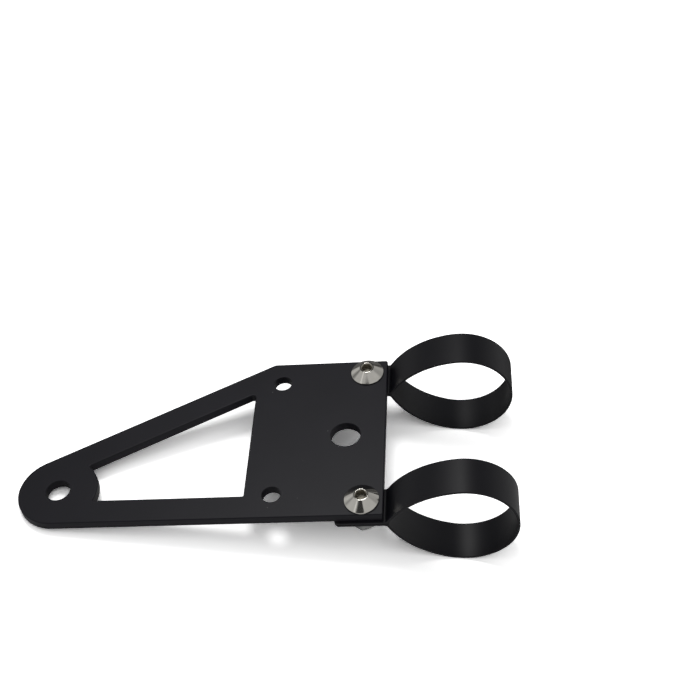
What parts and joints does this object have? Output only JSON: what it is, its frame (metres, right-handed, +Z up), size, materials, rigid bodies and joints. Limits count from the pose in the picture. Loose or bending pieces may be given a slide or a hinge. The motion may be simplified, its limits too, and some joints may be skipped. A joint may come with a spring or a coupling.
{
  "type": "headlight mounting bracket",
  "caption": "Flat plate with a windowed arm and a round lamp ear, held to a motorbike fork tube by looped sheet-metal strap clamps.",
  "frame": {"origin": "on the fork axis, midway between the two strap loops", "axes": "+Z up as the bracket lies at rest, +Y along the fork axis towards the upper clamp, -X along the arm towards the lamp ear"},
  "size_m": [0.1967, 0.082, 0.042],
  "materials": {
    "plate_coat": "satin black powder coat on steel plate",
    "strap_coat": "smooth satin black coat on steel strip",
    "stainless": "turned stainless steel",
    "nut_steel": "plain stainless steel"
  },
  "bodies": {
    "root": {"bracket_plate": "plate_coat", "lower_clamp_strap": "strap_coat", "upper_clamp_strap": "strap_coat", "lower_clamp_screw": "stainless", "upper_clamp_screw": "stainless", "lower_clamp_nut": "nut_steel", "upper_clamp_nut": "nut_steel"}
  },
  "joints": []
}
